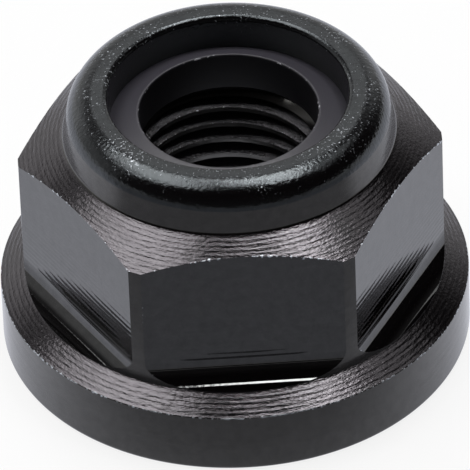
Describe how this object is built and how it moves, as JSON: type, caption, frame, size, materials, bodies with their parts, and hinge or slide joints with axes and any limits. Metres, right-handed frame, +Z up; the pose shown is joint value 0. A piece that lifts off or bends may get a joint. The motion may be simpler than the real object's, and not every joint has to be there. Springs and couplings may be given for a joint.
{
  "type": "self-locking nut",
  "caption": "Self-locking hexagon nut with a wide flange and a plastic locking ring held under a rolled collar.",
  "frame": {"origin": "centre of the bearing face, on the thread's axis", "axes": "+Z up along the thread, from the bearing face to the rolled collar; a flat of the hexagon faces -Y"},
  "size_m": [0.024, 0.024, 0.0149],
  "materials": {
    "nut_body": "turned and milled, black anodised",
    "locking_ring": "black nylon, smooth"
  },
  "bodies": {
    "root": {"nut_body": "nut_body", "locking_ring": "locking_ring"}
  },
  "joints": []
}
